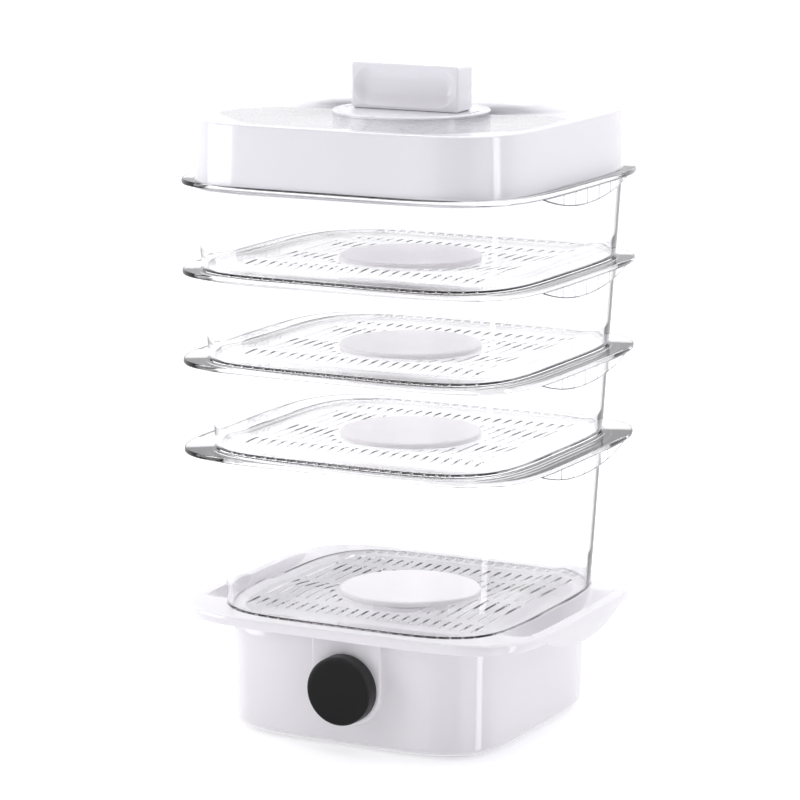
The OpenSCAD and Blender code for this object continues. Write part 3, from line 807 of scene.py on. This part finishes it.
def floor():
    """Pale floor under the object; it glows a little, as an overexposed studio table does."""
    shape = Shape()
    line = [-FLOOR_HALF + 2 * FLOOR_HALF * i / FLOOR_CELLS for i in range(FLOOR_CELLS + 1)]
    shape.points = [(x, y, FLOOR_Z) for y in line for x in line]
    row = FLOOR_CELLS + 1
    shape.faces = [(a, a + 1, a + row + 1, a + row)
                   for iy in range(FLOOR_CELLS) for a in range(iy * row, iy * row + FLOOR_CELLS)]
    tree = Tree("floor_pale")
    patches = tree.noise(scale=2, detail=2.0)
    tree.join(tree.blend(patches, (0.90, 0.90, 0.91), (0.92, 0.92, 0.93)), tree.shader, "Base Color")
    tree.value(Roughness=0.6)
    tree.shader.inputs["Emission Color"].default_value = (1, 1, 1, 1)
    tree.shader.inputs["Emission Strength"].default_value = FLOOR_GLOW
    thing = shape.build("floor", tree.material)
    thing.visible_glossy = False


def soft_light(name, location, aim, width, height, power, shades=True, shines=True):
    """Area light. Without shades it makes only reflections, and without shines it makes none."""
    data = bpy.data.lights.new(name, "AREA")
    data.shape = "RECTANGLE"
    data.size, data.size_y = width, height
    data.energy = power
    thing = bpy.data.objects.new(name, data)
    thing.location = location
    thing.rotation_euler = (Vector(aim) - Vector(location)).to_track_quat("-Z", "Y").to_euler()
    thing.visible_diffuse, thing.visible_glossy, thing.visible_transmission = shades, shines, False
    bpy.context.scene.collection.objects.link(thing)


WALL, CAMERA_SIDE, GAP, REAR = 0.80, 0.20, 0.16, 1.02
# Brightness round the horizon, from -X by way of -Y, +X and +Y
HORIZON = ((0.0, WALL), (0.04, GAP), (0.18, GAP), (0.20, WALL), (0.23, WALL), (0.26, CAMERA_SIDE),
           (0.36, CAMERA_SIDE), (0.39, WALL), (0.46, WALL), (0.48, GAP), (0.54, GAP), (0.60, WALL),
           (0.68, WALL), (0.73, REAR), (0.93, REAR), (1.0, WALL))
CEILING_FROM, CEILING_TO, ZENITH = 0.3, 0.9, 2.0    # upward part of a direction, and how much brighter
BACKDROP = 1.1                                      # what the camera itself sees


def world():
    """Grey studio walls with darker gaps between them, and a bright ceiling."""
    made = bpy.data.worlds.new("studio")
    bpy.context.scene.world = made
    made.use_nodes = True
    tree = made.node_tree

    def add(kind):
        return tree.nodes.new(kind)

    def join(source, target):
        tree.links.new(source, target)

    around, split, turn, ramp = (add(k) for k in (
        "ShaderNodeTexCoord", "ShaderNodeSeparateXYZ", "ShaderNodeMath", "ShaderNodeValToRGB"))
    turn.operation = "ARCTAN2"
    share = add("ShaderNodeMapRange")
    share.inputs["From Min"].default_value = -math.pi
    share.inputs["From Max"].default_value = math.pi
    join(around.outputs["Generated"], split.inputs["Vector"])
    join(split.outputs["Y"], turn.inputs[0])
    join(split.outputs["X"], turn.inputs[1])
    join(turn.outputs["Value"], share.inputs["Value"])
    join(share.outputs["Result"], ramp.inputs["Fac"])
    stops = ramp.color_ramp.elements
    stops.remove(stops[0])
    stops[0].position = 0.0
    for position, level in HORIZON:
        stop = stops.new(position) if position else stops[0]
        stop.color = (level, level, level * 1.02, 1)
    ceiling = add("ShaderNodeMapRange")
    ceiling.inputs["From Min"].default_value = CEILING_FROM
    ceiling.inputs["From Max"].default_value = CEILING_TO
    ceiling.inputs["To Min"].default_value = 1.0
    ceiling.inputs["To Max"].default_value = ZENITH
    join(split.outputs["Z"], ceiling.inputs["Value"])
    walls = tree.nodes["Background"]
    join(ramp.outputs["Color"], walls.inputs["Color"])
    join(ceiling.outputs["Result"], walls.inputs["Strength"])
    seen = add("ShaderNodeBackground")
    seen.inputs["Color"].default_value = (1, 1, 1, 1)
    seen.inputs["Strength"].default_value = BACKDROP
    path, mix = add("ShaderNodeLightPath"), add("ShaderNodeMixShader")
    join(path.outputs["Is Camera Ray"], mix.inputs["Fac"])
    join(walls.outputs["Background"], mix.inputs[1])
    join(seen.outputs["Background"], mix.inputs[2])
    join(mix.outputs["Shader"], tree.nodes["World Output"].inputs["Surface"])


floor()
world()
soft_light("key_left", (-1.0, -0.6, 0.3), (0, 0, 0.15), 0.6, 0.9, 5.4)
soft_light("strip_right", (1.37, -0.1, 0.2), (0, 0, 0.2), 0.28, 1.8, 6, shades=False)
soft_light("fill_rear", (1.1, 0.8, 0.5), (0, 0, 0.25), 0.8, 1.2, 2.6, shines=False)
soft_light("top", (0, 0.1, 2.2), (0, 0, 0.3), 1.8, 1.8, 12)
bpy.context.scene.view_settings.view_transform = "Standard"
